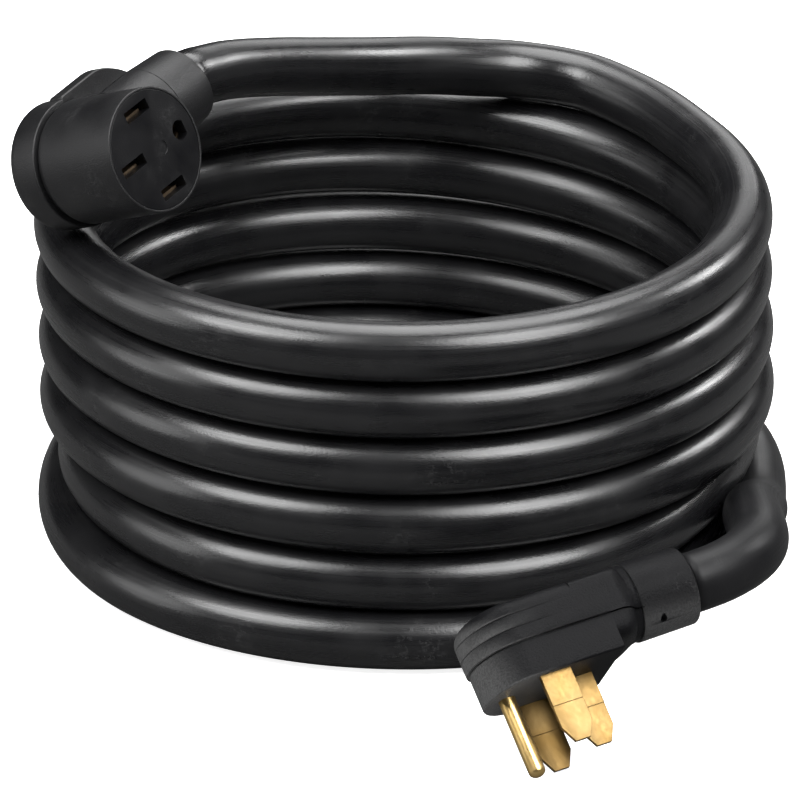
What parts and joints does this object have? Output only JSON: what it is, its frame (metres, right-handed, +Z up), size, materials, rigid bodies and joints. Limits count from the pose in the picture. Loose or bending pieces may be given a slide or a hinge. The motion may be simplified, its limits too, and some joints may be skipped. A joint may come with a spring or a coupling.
{
  "type": "shore power cord",
  "caption": "Heavy round power cord laid in a coil, with a right-angle plug of flat blades and a round pin at one end and a right-angle socket connector at the other.",
  "frame": {"origin": "on the floor, under the middle of the whole object", "axes": "+Z up; the coil stands with its axis along Z; the plug lies on the -Y side with its blades down, and the connector lies on top of the coil towards -X"},
  "size_m": [0.3192, 0.4208, 0.2205],
  "materials": {
    "cable_jacket": "semi-gloss black",
    "housing": "matte black, fine texture",
    "insulator": "matte black",
    "blade_brass": "satin",
    "contact_metal": "satin",
    "tinned_metal": "satin",
    "wire_black": "smooth",
    "wire_red": "smooth",
    "wire_white": "smooth",
    "wire_green": "smooth"
  },
  "bodies": {
    "root": {"plug_base": "housing", "plug_cover": "housing", "plug_collar": "housing", "plug_pin_plate": "insulator", "plug_cord_clamp": "tinned_metal", "plug_jacket_end": "cable_jacket", "plug_blade_hot_x": "blade_brass", "plug_blade_hot_y": "blade_brass", "plug_blade_neutral": "blade_brass", "plug_pin_ground": "blade_brass", "plug_crimp_hot_x": "tinned_metal", "plug_wire_hot_x": "wire_black", "plug_crimp_hot_y": "tinned_metal", "plug_wire_hot_y": "wire_red", "plug_crimp_neutral": "tinned_metal", "plug_wire_neutral": "wire_white", "plug_crimp_ground": "tinned_metal", "plug_wire_ground": "wire_green", "connector_front_shell": "housing", "connector_rear_cover": "housing", "connector_face": "insulator", "connector_contact_carrier": "insulator", "connector_collar": "housing", "connector_cord_clamp": "tinned_metal", "connector_jacket_end": "cable_jacket", "connector_contact_hot_x": "contact_metal", "connector_contact_hot_y": "contact_metal", "connector_contact_neutral": "contact_metal", "connector_contact_ground": "contact_metal", "connector_crimp_hot_x": "tinned_metal", "connector_wire_hot_x": "wire_black", "connector_crimp_hot_y": "tinned_metal", "connector_wire_hot_y": "wire_red", "connector_crimp_neutral": "tinned_metal", "connector_wire_neutral": "wire_white", "connector_crimp_ground": "tinned_metal", "connector_wire_ground": "wire_green", "cable_coil": "cable_jacket", "cable_lead_plug": "cable_jacket", "cable_lead_connector": "cable_jacket"}
  },
  "joints": []
}
